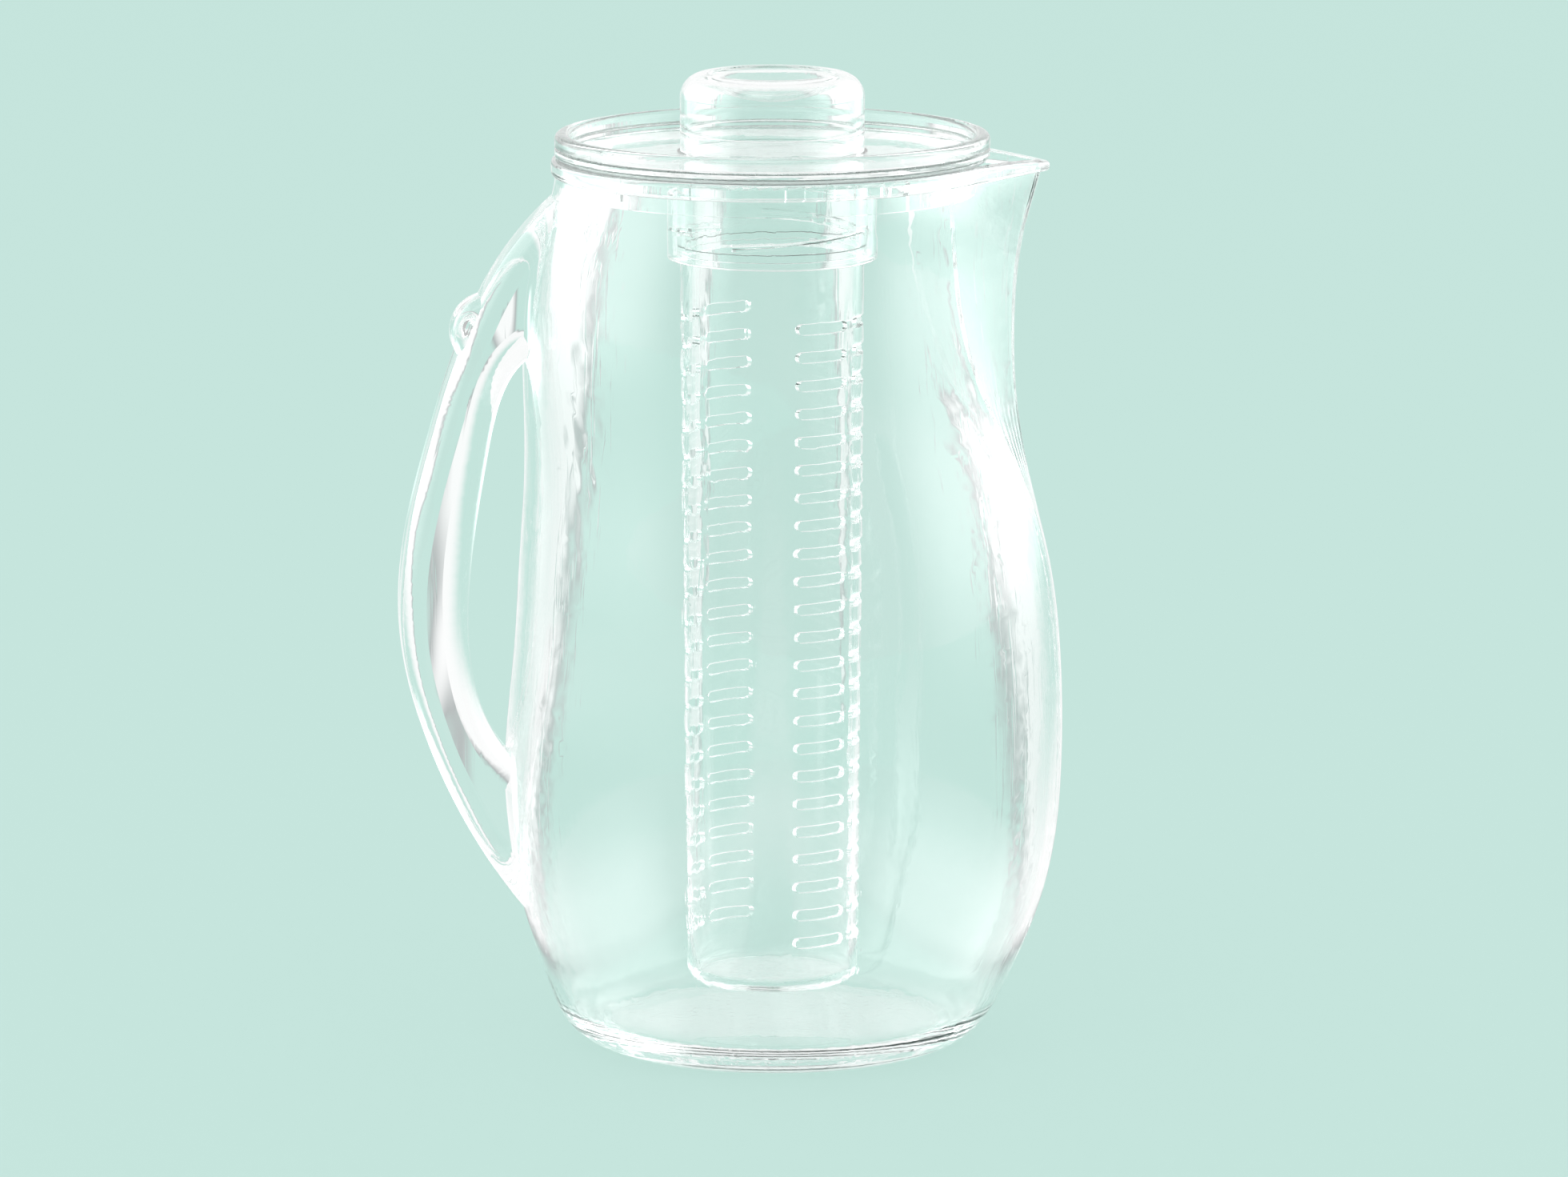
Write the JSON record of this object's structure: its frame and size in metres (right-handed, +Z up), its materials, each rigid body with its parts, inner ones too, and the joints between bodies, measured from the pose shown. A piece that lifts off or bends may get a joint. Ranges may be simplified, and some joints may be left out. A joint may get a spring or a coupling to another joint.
{
  "type": "fruit infuser pitcher",
  "caption": "Clear acrylic pitcher with a pouring spout, a bonded grip handle, a turning lid with a round knob, and a slotted infuser tube screwed under the lid.",
  "frame": {"origin": "on the jug's axis, at the middle of its flat underside", "axes": "+Z up along the jug's axis, +X towards the spout, -X towards the handle"},
  "size_m": [0.1807, 0.1518, 0.2655],
  "materials": {
    "jug_acrylic": "clear, polished",
    "handle_acrylic": "clear, polished",
    "lid_acrylic": "clear, polished",
    "infuser_acrylic": "clear, polished",
    "seal_silicone": "translucent, satin"
  },
  "bodies": {
    "jug": {"jug_body": "jug_acrylic", "handle": "handle_acrylic"},
    "seal": {"lid_seal": "seal_silicone"},
    "lid": {"lid_plate": "lid_acrylic", "lid_knob": "lid_acrylic"},
    "infuser": {"infuser_tube": "infuser_acrylic"},
    "collar": {"infuser_collar": "infuser_acrylic"}
  },
  "joints": [
    {"name": "lid_lift", "type": "slide", "parent": "jug", "child": "seal", "axis": [0, 0, 1], "range_m": [0, 0.235]},
    {"name": "lid_turn", "type": "hinge", "parent": "seal", "child": "lid", "pos_m": [0, 0, 0.2435], "axis": [0, 0, 1], "continuous": true},
    {"name": "infuser_drop", "type": "slide", "parent": "lid", "child": "infuser", "axis": [0, 0, -1], "range_m": [0, 0.004]},
    {"name": "collar_turn", "type": "hinge", "parent": "infuser", "child": "collar", "pos_m": [0, 0, 0.2253], "axis": [0, 0, -1], "range_deg": [0, 120]}
  ],
  "couplings": [
    {"joint": "infuser_drop", "follows": "collar_turn", "m_per_rad": 0.0019099}
  ]
}
